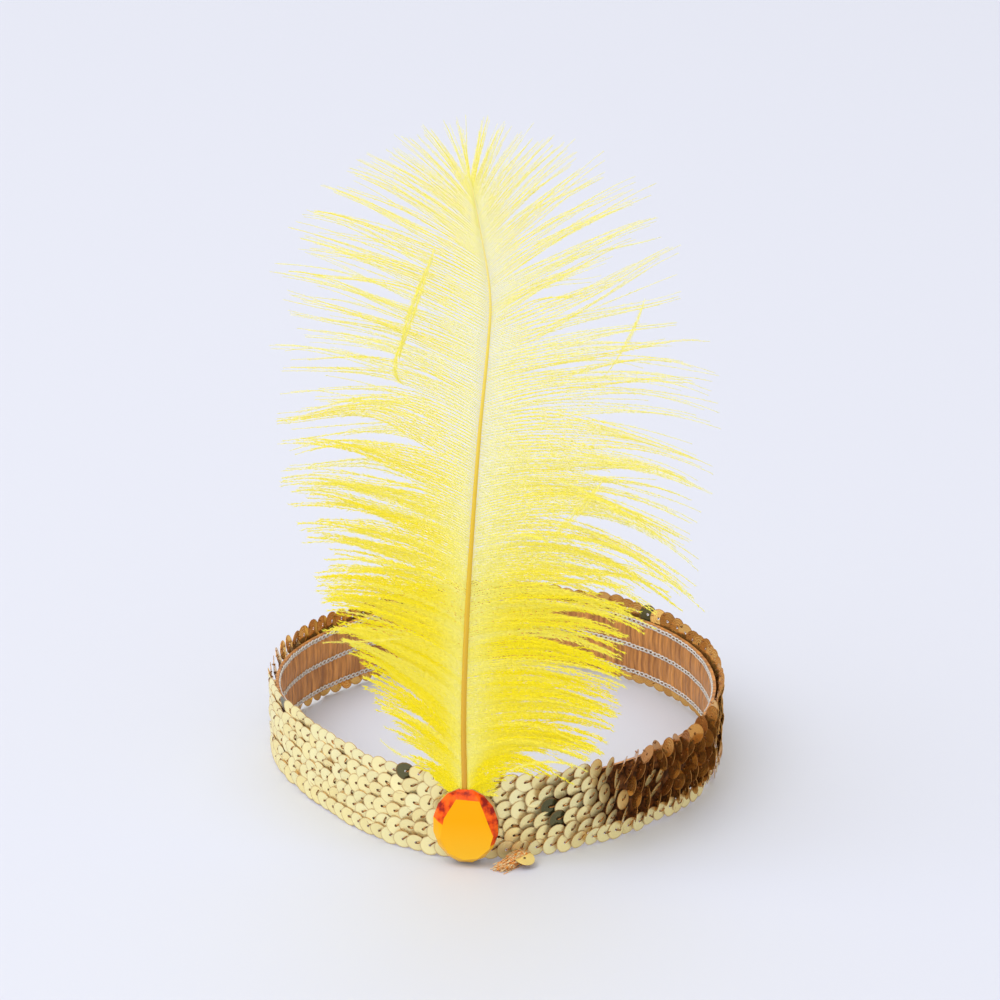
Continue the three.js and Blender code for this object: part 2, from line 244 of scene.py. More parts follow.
# The rib noise streaks the tape's colour: partly its own uneven tone and partly painted light and
# shade of the puckered ribs, which the same noise also raises as a bump.
rib_tone_and_shade = nodes.new("ShaderNodeValToRGB")
rib_tone_and_shade.color_ramp.elements[0].position = 0.34
rib_tone_and_shade.color_ramp.elements[0].color = (0.31, 0.115, 0.025, 1.0)
rib_tone_and_shade.color_ramp.elements[1].position = 0.66
rib_tone_and_shade.color_ramp.elements[1].color = (0.76, 0.335, 0.082, 1.0)
yarn_place = nodes.new("ShaderNodeMapping")
yarn_place.inputs["Scale"].default_value = (2.6, 0.5, 1.0)
yarns = nodes.new("ShaderNodeTexNoise")
yarns.inputs["Scale"].default_value = 1.0
yarns.inputs["Detail"].default_value = 1.0
both = nodes.new("ShaderNodeMath")
both.operation = "MULTIPLY_ADD"
both.inputs[1].default_value = 0.35
bump = nodes.new("ShaderNodeBump")
bump.inputs["Strength"].default_value = 0.8
bump.inputs["Distance"].default_value = 0.0006
links.new(weave.outputs["UV"], rib_place.inputs["Vector"])
links.new(rib_place.outputs["Vector"], ribs.inputs["Vector"])
links.new(weave.outputs["UV"], yarn_place.inputs["Vector"])
links.new(yarn_place.outputs["Vector"], yarns.inputs["Vector"])
links.new(ribs.outputs["Fac"], rib_tone_and_shade.inputs["Fac"])
links.new(rib_tone_and_shade.outputs["Color"], shader.inputs["Base Color"])
links.new(yarns.outputs["Fac"], both.inputs[0])
links.new(ribs.outputs["Fac"], both.inputs[2])
links.new(both.outputs["Value"], bump.inputs["Height"])
links.new(bump.outputs["Normal"], shader.inputs["Normal"])
shader.inputs["Roughness"].default_value = 0.42
shader.inputs["Metallic"].default_value = 0.15
shader.inputs["Sheen Weight"].default_value = 0.05
tape.data.materials.clear()
tape.data.materials.append(satin)

# Outside, the tape is seen only as dark slits between the sequins, so its outer faces are
# painted near black-brown with a fine mottle: painted shade for the shade the discs cast there.
outer_tape_painted_shade, nodes, links, shader = new_material("painted_shade_outer_tape")
place = nodes.new("ShaderNodeTexCoord")
outer_shade_mottle = nodes.new("ShaderNodeTexNoise")
outer_shade_mottle.inputs["Scale"].default_value = 700.0
outer_shade_tone = nodes.new("ShaderNodeValToRGB")
outer_shade_tone.color_ramp.elements[0].position = 0.4
outer_shade_tone.color_ramp.elements[0].color = (0.055, 0.018, 0.005, 1.0)
outer_shade_tone.color_ramp.elements[1].position = 0.7
outer_shade_tone.color_ramp.elements[1].color = (0.32, 0.12, 0.030, 1.0)
links.new(place.outputs["Object"], outer_shade_mottle.inputs["Vector"])
links.new(outer_shade_mottle.outputs["Fac"], outer_shade_tone.inputs["Fac"])
links.new(outer_shade_tone.outputs["Color"], shader.inputs["Base Color"])
shader.inputs["Roughness"].default_value = 0.6
tape.data.materials.append(outer_tape_painted_shade)
# Faces turned outward get the painted shade.
for face in tape.data.polygons:
    away = (face.center[0] - BAND_MIDDLE[0], face.center[1] - BAND_MIDDLE[1])
    if face.normal[0] * away[0] + face.normal[1] * away[1] > 0.5 * math.hypot(*away):
        face.material_index = 1
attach(tape, "root")
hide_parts("elastic_band")

# Chain stitches
# The sewing that holds the three strings of sequins shows inside the tape as three lines of
# silvery chain stitch. Each loop lies flat on the tape with its head over the next loop's tail.

STITCH_PITCH = 0.0019
STITCH_LENGTH = 0.0029
STITCH_WIDTH = 0.0018
STITCH_THICKNESS = 0.00058
STITCH_LINE_RADIUS = 0.0686
STITCH_PROUD = 0.00025
STITCH_LEAN = math.radians(9)


def join_copies(shape, places):
    """Copies of one shape: places is an array of 3 x 4 placings, one for each copy."""
    points, faces = shape
    turned = np.einsum("cij,pj->cpi", places[:, :, :3], points) + places[:, None, :, 3]
    shifted = faces[None] + (np.arange(len(places)) * len(points))[:, None, None]
    return turned.reshape(-1, 3), shifted.reshape(-1, faces.shape[1])


def mesh_piece(name, points, faces, material, slot, *stands_for):
    mesh = bpy.data.meshes.new(name)
    corners = faces.shape[1]
    mesh.vertices.add(len(points))
    mesh.vertices.foreach_set("co", np.ascontiguousarray(points, dtype=np.float32).ravel())
    mesh.loops.add(faces.size)
    mesh.loops.foreach_set("vertex_index", np.ascontiguousarray(faces, dtype=np.int32).ravel())
    mesh.polygons.add(len(faces))
    mesh.polygons.foreach_set("loop_start", np.arange(0, faces.size, corners, dtype=np.int32))
    mesh.update(calc_edges=True)
    mesh.materials.append(material)
    piece = bpy.data.objects.new(name, mesh)
    bpy.context.collection.objects.link(piece)
    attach(piece, "root")
    if stands_for:
        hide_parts(*stands_for)
    return piece


def shape_of(piece):
    """The points and the four-sided faces of a modelled piece, which is then taken away."""
    faces = np.array([list(face.vertices) for face in piece.data.polygons])
    points = mesh_points(piece.data)
    bpy.data.objects.remove(piece)
    return points, faces


bpy.ops.object.select_all(action="DESELECT")
bpy.ops.mesh.primitive_torus_add(
    major_segments=7,
    minor_segments=4,
    major_radius=STITCH_WIDTH / 2 - STITCH_THICKNESS / 2,
    minor_radius=STITCH_THICKNESS / 2,
)
loop = bpy.context.object
bpy.ops.object.mode_set(mode="EDIT")
bpy.ops.mesh.select_all(action="SELECT")
bpy.ops.transform.resize(value=(STITCH_LENGTH / STITCH_WIDTH, 1.0, 1.0))
bpy.ops.object.mode_set(mode="OBJECT")
stitch = shape_of(loop)

loops_round = round(2 * math.pi * STITCH_LINE_RADIUS / STITCH_PITCH)
stitch_turns = np.arange(loops_round) * 2 * math.pi / loops_round
outward, along = band_directions(stitch_turns)
rng = np.random.default_rng(3)
stitch_places = []
for level in ROW_LEVELS:
    heights = level + rng.normal(0, 0.00007, loops_round)
    middles = band_point(stitch_turns, -TAPE_WALL / 2 - STITCH_PROUD, heights)
    inward = -outward
    run = along * math.cos(STITCH_LEAN) + inward * math.sin(STITCH_LEAN)
    face_out = inward * math.cos(STITCH_LEAN) - along * math.sin(STITCH_LEAN)
    up = np.cross(face_out, run)
    stitch_places.append(np.stack([run, up, face_out, middles], axis=2))
points, faces = join_copies(stitch, np.concatenate(stitch_places))

stitch_yarn, nodes, links, shader = new_material("silver_stitch_yarn")
shader.inputs["Base Color"].default_value = (0.70, 0.67, 0.64, 1.0)
shader.inputs["Roughness"].default_value = 0.45
shader.inputs["Sheen Weight"].default_value = 0.4
place = nodes.new("ShaderNodeTexCoord")
twist = nodes.new("ShaderNodeTexNoise")
twist.inputs["Scale"].default_value = 2600.0
tone = nodes.new("ShaderNodeValToRGB")
tone.color_ramp.elements[0].position = 0.3
tone.color_ramp.elements[0].color = (0.42, 0.37, 0.33, 1.0)
tone.color_ramp.elements[1].position = 0.62
tone.color_ramp.elements[1].color = (0.80, 0.77, 0.75, 1.0)
links.new(place.outputs["Object"], twist.inputs["Vector"])
links.new(twist.outputs["Fac"], tone.inputs["Fac"])
links.new(tone.outputs["Color"], shader.inputs["Base Color"])
stitches = mesh_piece("chain_stitches", points, faces, stitch_yarn, "elastic")
stitches.data.shade_smooth()

# Sequins
# Flat discs of gilded film with a sewing hole, gold in front and amber behind. Each of the
# three strings runs in a zigzag, so it gives two lines of discs that overlap like scales.

DISC_RADIUS = 0.0032
DISC_HOLE = 0.0005
DISC_FILM = 0.00012
DISC_DISH = 0.00006
DISCS_ROUND = 196
ZIGZAG = 0.0023
DISC_OUT = 0.0019
DISC_LEAN = math.radians(10)
RUFFLED_LEAN = math.radians(52)
HALF_OPEN = 0.15
HALF_OPEN_LEAN = math.radians(20)
DISC_NOD = math.radians(7)
RUFFLED_NOD = math.radians(6)
STRING_SWAY = 0.0004

# At the front right the discs are ruffled: they stand open, so that their amber backs show,
# and a few stand only half open.
RUFFLED_FROM = math.radians(-61)
RUFFLED_FULL = math.radians(-45)
RUFFLED_TO = math.radians(-20)
RUFFLED_END = math.radians(-4)

# Each string of sequins: the end of its CAD piece's name, its height, how far along its first
# disc lies, in discs, and how far the ruffled discs of its lower and upper line stand open. Odd
# ones are the dull olive discs, by their number along the string.
STRINGS = (
    {"row": "lower", "level": ROW_LEVELS[0], "shift": 0.0, "open": (-0.12, 0.7), "odd": (92,)},
    {"row": "middle", "level": ROW_LEVELS[1], "shift": 0.8, "open": (0.95, 1.1), "odd": (157, 158)},
    {"row": "upper", "level": ROW_LEVELS[2], "shift": 1.5, "open": (1.1, 1.1), "odd": (27, 109, 137)},
)

bpy.ops.object.select_all(action="DESELECT")
bpy.ops.mesh.primitive_circle_add(vertices=16, radius=DISC_RADIUS, fill_type="NGON")
disc = bpy.context.object
bpy.ops.object.mode_set(mode="EDIT")
bpy.ops.mesh.select_all(action="SELECT")
bpy.ops.mesh.inset(thickness=DISC_RADIUS - DISC_HOLE)
bpy.ops.mesh.delete(type="FACE")
bpy.ops.object.mode_set(mode="OBJECT")
solid = disc.modifiers.new("film", "SOLIDIFY")
solid.thickness = DISC_FILM
solid.offset = 0.0
bpy.ops.object.modifier_apply(modifier="film")
disc_points, disc_faces = shape_of(disc)
disc_points[:, 2] += DISC_DISH * (np.hypot(disc_points[:, 0], disc_points[:, 1]) / DISC_RADIUS) ** 2
corners = disc_points[disc_faces]
normals = np.cross(corners[:, 2] - corners[:, 0], corners[:, 3] - corners[:, 1])
normals /= np.linalg.norm(normals, axis=1)[:, None]
BACK_FACES = normals[:, 2] < 0.5


def smooth_step(low, high, value):
    share = np.clip((value - low) / (high - low), 0, 1)
    return share * share * (3 - 2 * share)


def half_turn(turn):
    return (turn + math.pi) % (2 * math.pi) - math.pi


def disc_material(name, dull, bright, roughness, metallic):
    material, nodes, links, shader = new_material(name)
    shade = nodes.new("ShaderNodeAttribute")
    shade.attribute_name = "shade"
    tone = nodes.new("ShaderNodeValToRGB")
    tone.color_ramp.elements[0].color = (*dull, 1.0)
    tone.color_ramp.elements[1].color = (*bright, 1.0)
    place = nodes.new("ShaderNodeUVMap")
    place.uv_map = "disc"
    reach = nodes.new("ShaderNodeVectorMath")
    reach.operation = "LENGTH"
    rings = nodes.new("ShaderNodeMath")
    rings.operation = "MULTIPLY"
    rings.inputs[1].default_value = 26.0
    wave = nodes.new("ShaderNodeMath")
    wave.operation = "SINE"
    bump = nodes.new("ShaderNodeBump")
    bump.inputs["Strength"].default_value = 0.25
    bump.inputs["Distance"].default_value = 0.00003
    # Towards its rim every disc is painted a darker brown: painted shade at the disc's edge.
    edge = nodes.new("ShaderNodeMapRange")
    edge.inputs["From Min"].default_value = 0.84
    edge.inputs["From Max"].default_value = 1.0
    edge.inputs["To Max"].default_value = 0.6
    rim_painted_shade = nodes.new("ShaderNodeMix")
    rim_painted_shade.data_type = "RGBA"
    rim_painted_shade.inputs["B"].default_value = (0.42, 0.18, 0.04, 1.0)
    links.new(shade.outputs["Fac"], tone.inputs["Fac"])
    links.new(reach.outputs["Value"], edge.inputs["Value"])
    links.new(edge.outputs["Result"], rim_painted_shade.inputs["Factor"])
    links.new(tone.outputs["Color"], rim_painted_shade.inputs["A"])
    links.new(rim_painted_shade.outputs["Result"], shader.inputs["Base Color"])
    links.new(place.outputs["UV"], reach.inputs[0])
    links.new(reach.outputs["Value"], rings.inputs[0])
    links.new(rings.outputs["Value"], wave.inputs[0])
    links.new(wave.outputs["Value"], bump.inputs["Height"])
    links.new(bump.outputs["Normal"], shader.inputs["Normal"])
    shader.inputs["Roughness"].default_value = roughness
    shader.inputs["Metallic"].default_value = metallic
    return material


gold_film = disc_material("gold_film", (1.0, 0.80, 0.31), (1.0, 0.92, 0.50), 0.34, 0.55)
amber_film = disc_material("amber_film", (0.34, 0.105, 0.020), (1.0, 0.62, 0.18), 0.20, 0.8)
olive_film = disc_material("olive_film", (0.055, 0.055, 0.020), (0.13, 0.12, 0.05), 0.18, 0.6)

rng = np.random.default_rng(11)
disc_frames = []
for string in STRINGS:
    number = np.arange(DISCS_ROUND)
    turns = (number + string["shift"]) * 2 * math.pi / DISCS_ROUND
    side = np.where(number % 2 == 0, -1.0, 1.0)
    outward, along = band_directions(turns)
    ruffled = smooth_step(RUFFLED_FROM, RUFFLED_FULL, half_turn(turns))
    ruffled = ruffled * (1 - smooth_step(RUFFLED_TO, RUFFLED_END, half_turn(turns)))
    ruffled = ruffled * np.where(side < 0, *string["open"])
    uneven = np.clip(rng.normal(0, math.radians(4), DISCS_ROUND), -0.1, 0.1)
    lean = DISC_LEAN + ruffled * RUFFLED_LEAN + uneven * (1 + 1.3 * np.abs(ruffled))
    half_open = (ruffled > 0.6) & (rng.uniform(0, 1, DISCS_ROUND) < HALF_OPEN)
    lean = np.where(half_open, HALF_OPEN_LEAN, lean)
    nod = DISC_NOD + RUFFLED_NOD * ruffled
    nod = nod + rng.normal(0, math.radians(6), DISCS_ROUND) * (1 + np.abs(ruffled))
    spin = rng.uniform(-math.pi, math.pi, DISCS_ROUND)
    sway = np.sin(turns * 7 + 9 * string["shift"]) + np.sin(turns * 17 + 5 * string["shift"])
    heights = string["level"] + side * ZIGZAG + STRING_SWAY * sway
    heights = heights + rng.normal(0, 0.00022, DISCS_ROUND)
    heights = np.maximum(heights, DISC_RADIUS + 0.00015)
    turns = turns + rng.normal(0, 0.0022, DISCS_ROUND)
    stand_off = np.maximum(DISC_OUT, TAPE_WALL / 2 + DISC_RADIUS * np.sin(np.abs(lean)))
    stand_off = stand_off + rng.normal(0, 0.00008, DISCS_ROUND)
    middles = band_point(turns, stand_off, heights)
    up = np.tile([0.0, 0.0, 1.0], (DISCS_ROUND, 1))
    run = along * np.cos(lean)[:, None] - outward * np.sin(lean)[:, None]
    face_out = outward * np.cos(lean)[:, None] + along * np.sin(lean)[:, None]
    rise = up * np.cos(nod)[:, None] + face_out * np.sin(nod)[:, None]
    face_out = face_out * np.cos(nod)[:, None] - up * np.sin(nod)[:, None]
    disc_frames.append((run, rise, face_out, middles))
    across = run * np.cos(spin)[:, None] + rise * np.sin(spin)[:, None]
    above = rise * np.cos(spin)[:, None] - run * np.sin(spin)[:, None]
    places = np.stack([across, above, face_out, middles], axis=2)
    points, faces = join_copies((disc_points, disc_faces), places)
    node = f"sequin_row_{string['row']}"
    row = mesh_piece(f"{node}_discs", points, faces, gold_film, "sequins", node)
    row.data.materials.append(amber_film)
    row.data.materials.append(olive_film)
    slots = np.tile(np.where(BACK_FACES, 1, 0), (DISCS_ROUND, 1))
    slots[list(string["odd"])] = 2
    row.data.polygons.foreach_set("material_index", slots.ravel().astype(np.int32))
    shades = row.data.attributes.new("shade", "FLOAT", "POINT")
    # The ruffled discs are painted darker than the rest, front and back: painted shade, as their
    # backs lie in each other's shade.
    lightness = rng.uniform(0.45, 1.0, DISCS_ROUND) * (1 - 0.55 * np.abs(ruffled))
    shades.data.foreach_set("value", np.repeat(lightness, len(disc_points)))
    disc_map = row.data.uv_layers.new(name="disc")
    flat = disc_points[disc_faces.ravel(), :2] / DISC_RADIUS
    disc_map.data.foreach_set("uv", np.tile(flat, (DISCS_ROUND, 1)).ravel())
    bpy.ops.object.select_all(action="DESELECT")
    row.select_set(True)
    bpy.context.view_layer.objects.active = row
    bpy.ops.object.shade_smooth_by_angle(angle=math.radians(30))

# Sequin thread
# A copper thread comes out of the hole of each disc, runs over its face and goes under the
# raised edge of the next one.

THREAD_RADIUS = 0.00023
# From the hole on: how far along, up and out from the disc's middle, in millimetres.
THREAD_RUN = np.array([
    (0.0, 0.0, -0.3),
    (0.15, 0.05, 0.45),
    (0.9, 0.2, 0.55),
    (1.9, 0.3, 0.2),
    (2.7, 0.3, -0.5),
]) * 0.001


def strand_faces(steps):
    """Faces of one closed three-sided strand that has steps sections of three points."""
    faces = [(0, 1, 2), (3 * steps - 3, 3 * steps - 1, 3 * steps - 2)]
    for step in range(steps - 1):
        for corner in range(3):
            here = 3 * step + corner
            beside = 3 * step + (corner + 1) % 3
            faces += [(here, beside + 3, beside), (here, here + 3, beside + 3)]
    return np.array(faces)


def strands(lines, radii):
    """Closed strands along lines, an array of strand x step x 3, with a radius at each step."""
    count, steps, _ = lines.shape
    run = np.gradient(lines, axis=1)
    run /= np.maximum(np.linalg.norm(run, axis=2), 1e-9)[..., None]
    aside = np.cross(run, np.array([0.0, 1.0, 0.003]))
    aside /= np.maximum(np.linalg.norm(aside, axis=2), 1e-9)[..., None]
    third = np.cross(aside, run)
    rings = []
    for corner in range(3):
        angle = corner * 2 * math.pi / 3
        rings.append(lines + radii[..., None] * (aside * math.cos(angle) + third * math.sin(angle)))
    points = np.stack(rings, axis=2).reshape(-1, 3)
    faces = strand_faces(steps)[None] + (np.arange(count) * 3 * steps)[:, None, None]
    return points, faces.reshape(-1, 3)


thread_lines = []
rng = np.random.default_rng(5)
for run, rise, face_out, middles in disc_frames:
    swing = rng.normal(0.25, 0.45, len(run))
    right = run * np.cos(swing)[:, None] + rise * np.sin(swing)[:, None]
    left_up = rise * np.cos(swing)[:, None] - run * np.sin(swing)[:, None]
    line = middles[:, None] + THREAD_RUN[None, :, 0:1] * right[:, None]
    line = line + THREAD_RUN[None, :, 1:2] * left_up[:, None]
    line = line + THREAD_RUN[None, :, 2:3] * face_out[:, None]
    thread_lines.append(line)
thread_lines = np.concatenate(thread_lines)
thread_radii = np.full(thread_lines.shape[:2], THREAD_RADIUS)
points, faces = strands(thread_lines, thread_radii)
copper_thread, nodes, links, shader = new_material("copper_thread")
shader.inputs["Roughness"].default_value = 0.35
shader.inputs["Metallic"].default_value = 0.5
place = nodes.new("ShaderNodeTexCoord")
twist = nodes.new("ShaderNodeTexNoise")
twist.inputs["Scale"].default_value = 900.0
tone = nodes.new("ShaderNodeValToRGB")
tone.color_ramp.elements[0].position = 0.35
tone.color_ramp.elements[0].color = (0.10, 0.03, 0.008, 1.0)
tone.color_ramp.elements[1].position = 0.65
tone.color_ramp.elements[1].color = (0.62, 0.25, 0.05, 1.0)
links.new(place.outputs["Object"], twist.inputs["Vector"])
links.new(twist.outputs["Fac"], tone.inputs["Fac"])
links.new(tone.outputs["Color"], shader.inputs["Base Color"])
mesh_piece("sequin_threads", points, faces, copper_thread, "sequins")

# Stone
# An oval flatback of amber resin over gold foil, glued to the sequins over the foot of the
# plume. The table and the lower facets show amber, more yellow towards the bottom; the upper and
# right facets are painted red-orange, mottled with painted shade and painted foil glints, for
# the light that passes twice through the resin there.

stone_resin, nodes, links, shader = new_material("amber_resin_painted_facets")
place = nodes.new("ShaderNodeTexCoord")
facing = nodes.new("ShaderNodeNewGeometry")
# The upper and right facets, picked out by a plane across the stone's upper right and by facing away
# from the front, are painted red-orange with a noise of painted shade and painted foil glints.
toward_red = nodes.new("ShaderNodeVectorMath")
toward_red.operation = "DOT_PRODUCT"
toward_red.inputs[1].default_value = (0.434, 0.0, 1.0)
painted_red_facets = nodes.new("ShaderNodeMapRange")
painted_red_facets.inputs["From Min"].default_value = 0.0119
painted_red_facets.inputs["From Max"].default_value = 0.0122
off_table = nodes.new("ShaderNodeMapRange")
off_table.inputs["From Min"].default_value = -0.985
off_table.inputs["From Max"].default_value = -0.975
red_share = nodes.new("ShaderNodeMath")
red_share.operation = "MULTIPLY"
foil = nodes.new("ShaderNodeTexNoise")
foil.inputs["Scale"].default_value = 330.0
foil.inputs["Detail"].default_value = 3.0
painted_foil_glints = nodes.new("ShaderNodeValToRGB")
painted_foil_glints.color_ramp.elements[0].position = 0.36
painted_foil_glints.color_ramp.elements[0].color = (0.30, 0.020, 0.014, 1.0)
painted_foil_glints.color_ramp.elements[1].position = 0.62
painted_foil_glints.color_ramp.elements[1].color = (1.0, 0.15, 0.012, 1.0)
painted_glint_middle = painted_foil_glints.color_ramp.elements.new(0.48)
painted_glint_middle.color = (0.80, 0.075, 0.010, 1.0)
low_share = nodes.new("ShaderNodeSeparateXYZ")
low_range = nodes.new("ShaderNodeMapRange")
low_range.inputs["From Min"].default_value = 0.002
low_range.inputs["From Max"].default_value = 0.016
table_tone = nodes.new("ShaderNodeValToRGB")
table_tone.color_ramp.elements[0].color = (0.94, 0.52, 0.03, 1.0)
table_tone.color_ramp.elements[1].color = (1.0, 0.43, 0.004, 1.0)
red_mix = nodes.new("ShaderNodeMix")
red_mix.data_type = "RGBA"
side_share = nodes.new("ShaderNodeSeparateXYZ")
side_wall = nodes.new("ShaderNodeMapRange")
side_wall.inputs["From Min"].default_value = -0.35
side_wall.inputs["From Max"].default_value = -0.15
side_mix = nodes.new("ShaderNodeMix")
side_mix.data_type = "RGBA"
side_mix.inputs["B"].default_value = (0.55, 0.36, 0.14, 1.0)
links.new(place.outputs["Object"], toward_red.inputs[0])
links.new(toward_red.outputs["Value"], painted_red_facets.inputs["Value"])
links.new(place.outputs["Object"], foil.inputs["Vector"])
links.new(foil.outputs["Fac"], painted_foil_glints.inputs["Fac"])
links.new(place.outputs["Object"], low_share.inputs["Vector"])
links.new(low_share.outputs["Z"], low_range.inputs["Value"])
links.new(low_range.outputs["Result"], table_tone.inputs["Fac"])
links.new(side_share.outputs["Y"], off_table.inputs["Value"])
links.new(painted_red_facets.outputs["Result"], red_share.inputs[0])
links.new(off_table.outputs["Result"], red_share.inputs[1])
links.new(red_share.outputs["Value"], red_mix.inputs["Factor"])
links.new(table_tone.outputs["Color"], red_mix.inputs["A"])
links.new(painted_foil_glints.outputs["Color"], red_mix.inputs["B"])
links.new(facing.outputs["True Normal"], side_share.inputs["Vector"])
links.new(side_share.outputs["Y"], side_wall.inputs["Value"])
links.new(side_wall.outputs["Result"], side_mix.inputs["Factor"])
links.new(red_mix.outputs["Result"], side_mix.inputs["A"])
links.new(side_mix.outputs["Result"], shader.inputs["Base Color"])
shader.inputs["Roughness"].default_value = 0.12
shader.inputs["Specular IOR Level"].default_value = 0.07
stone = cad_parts["stone"]
stone.data.materials.clear()
stone.data.materials.append(stone_resin)

# Plume shaft
# The quill of a dyed ostrich plume. It is stiff and golden brown at the foot, where it is glued
# behind the stone, and it thins to a pale yellow line that hooks to the left at the tip.

# Height, distance to the right of the middle of the part, and width, in millimetres.
SHAFT_LINE = np.array([
    (6.0, 0.8, 2.0),
    (26.0, 0.6, 1.75),
    (49.0, 0.4, 1.65),
    (80.0, 1.4, 1.5),
    (110.5, 3.2, 1.3),
    (141.0, 5.4, 1.1),
    (172.0, 8.2, 0.85),
    (180.0, 8.6, 0.75),
    (188.0, 8.1, 0.6),
    (203.0, 5.7, 0.4),
    (218.0, 2.9, 0.25),
]) * 0.001
SHAFT_BEHIND_STONE = 0.00125
PLUME_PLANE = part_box("stone")[1][1] - SHAFT_BEHIND_STONE
VANE_REACH = 0.070
VANE_CUP = 0.009


def shaft_place(level):
    return np.interp(level, SHAFT_LINE[:, 0], SHAFT_LINE[:, 1])


bpy.ops.object.select_all(action="DESELECT")
bpy.ops.curve.primitive_nurbs_path_add()
quill = bpy.context.object
quill.name = "plume_shaft"
quill.data.splines.clear()
line = quill.data.splines.new("BEZIER")
line.bezier_points.add(len(SHAFT_LINE) - 1)
for knot, (level, aside, width) in zip(line.bezier_points, SHAFT_LINE):
    knot.co = (aside, PLUME_PLANE, level)
    knot.handle_left_type = "AUTO"
    knot.handle_right_type = "AUTO"
    knot.radius = width / 2
quill.data.dimensions = "3D"
quill.data.bevel_depth = 1.0
quill.data.bevel_resolution = 3
quill.data.resolution_u = 6
quill.data.use_fill_caps = True
bpy.ops.object.convert(target="MESH")
bpy.ops.object.transform_apply(location=True, rotation=True, scale=True)
bpy.ops.object.shade_smooth()

quill_horn, nodes, links, shader = new_material("quill_horn")
place = nodes.new("ShaderNodeTexCoord")
height = nodes.new("ShaderNodeSeparateXYZ")
share = nodes.new("ShaderNodeMapRange")
share.inputs["From Min"].default_value = 0.026
share.inputs["From Max"].default_value = 0.218
tone = nodes.new("ShaderNodeValToRGB")
tone.color_ramp.elements[0].color = (0.66, 0.34, 0.02, 1.0)
tone.color_ramp.elements[1].color = (0.96, 0.86, 0.36, 1.0)
middle_tone = tone.color_ramp.elements.new(0.45)
middle_tone.color = (0.80, 0.52, 0.02, 1.0)
upper_tone = tone.color_ramp.elements.new(0.75)
upper_tone.color = (0.90, 0.70, 0.10, 1.0)
grain = nodes.new("ShaderNodeTexNoise")
grain.inputs["Scale"].default_value = 1.0
grain_place = nodes.new("ShaderNodeMapping")
grain_place.inputs["Scale"].default_value = (2500.0, 2500.0, 90.0)
bump = nodes.new("ShaderNodeBump")
bump.inputs["Strength"].default_value = 0.3
bump.inputs["Distance"].default_value = 0.0001
links.new(place.outputs["Object"], height.inputs["Vector"])
links.new(height.outputs["Z"], share.inputs["Value"])
links.new(share.outputs["Result"], tone.inputs["Fac"])
links.new(tone.outputs["Color"], shader.inputs["Base Color"])
links.new(place.outputs["Object"], grain_place.inputs["Vector"])
links.new(grain_place.outputs["Vector"], grain.inputs["Vector"])
links.new(grain.outputs["Fac"], bump.inputs["Height"])
links.new(bump.outputs["Normal"], shader.inputs["Normal"])
shader.inputs["Roughness"].default_value = 0.35
quill.data.materials.clear()
quill.data.materials.append(quill_horn)
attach(quill, "root")
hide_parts("ostrich_plume")

# Plume vanes
# Each side of the shaft carries hundreds of soft barbs, and each barb is fringed by fine
# barbules. They leave the shaft evenly and cling together further out in pointed locks.

# Where a barb leaves the shaft, how far out and up its tip lies from there, and how much it
# arches over the straight line between, in millimetres.
LEFT_VANE = np.array([
    (18, 8, 6, 0.5), (23, 12, 8, 1.0), (27, 20, 13, 2.0), (32, 26, 21, 2.5), (42, 32, 26, 3.0),
    (57, 38, 19, 4.0), (70, 41, 14, 4.0), (85, 44, 12, 4.0), (100, 46, 13, 4.0),
    (112, 54, 11, 4.5), (122, 57, 12, 4.5), (135, 57, 13, 4.5), (148, 55, 15, 4.5),
    (160, 57, 19, 2.0), (172, 57, 21, 2.2), (180, 54, 20, 2.2), (186, 51, 19, 2.0),
    (191, 46, 23, 1.8), (197, 39, 23, 1.6), (203, 31, 22, 1.4), (208, 23, 21, 0.9),
    (213, 13, 20, 0.5), (216, 5, 19, 0.1), (218, 0, 18, 0.0),
]) * 0.001
RIGHT_VANE = np.array([
    (18, 9, 6, 0.5), (23, 13, 6, 2.0), (27, 26, 6, 6.0), (33, 37, 6, 6.0), (42, 43, 1, 4.0),
    (52, 46, 2, 4.0), (62, 46, -2, 4.0), (72, 47, 3, 4.0), (80, 50, 0, 4.5),
    (90, 53, -1, 5.0), (98, 57, -4, 6.0), (106, 66, -10, 9.0), (114, 66, -3, 8.0),
    (124, 63, -1, 5.5), (133, 69, -5, 6.0), (141, 67, -1, 5.0), (150, 67, 8, 5.0),
    (157, 64, 9, 4.0), (162, 59, 15, 1.0), (167, 57, 20, -0.5), (170, 54, 24, -0.5),
    (172, 45, 22, 0.0), (174, 33, 17, 0.8), (177, 36, 21, 1.2), (180, 48, 25, 1.6),
    (183, 50, 27, 1.6), (186, 46, 30, 1.6), (193, 37, 30, 1.4),
    (199, 28, 29, 1.1), (206, 19, 26, 0.7), (212, 10, 22, 0.5), (217, 3, 19, 0.1),
    (218, 0, 18, 0.0),
]) * 0.001

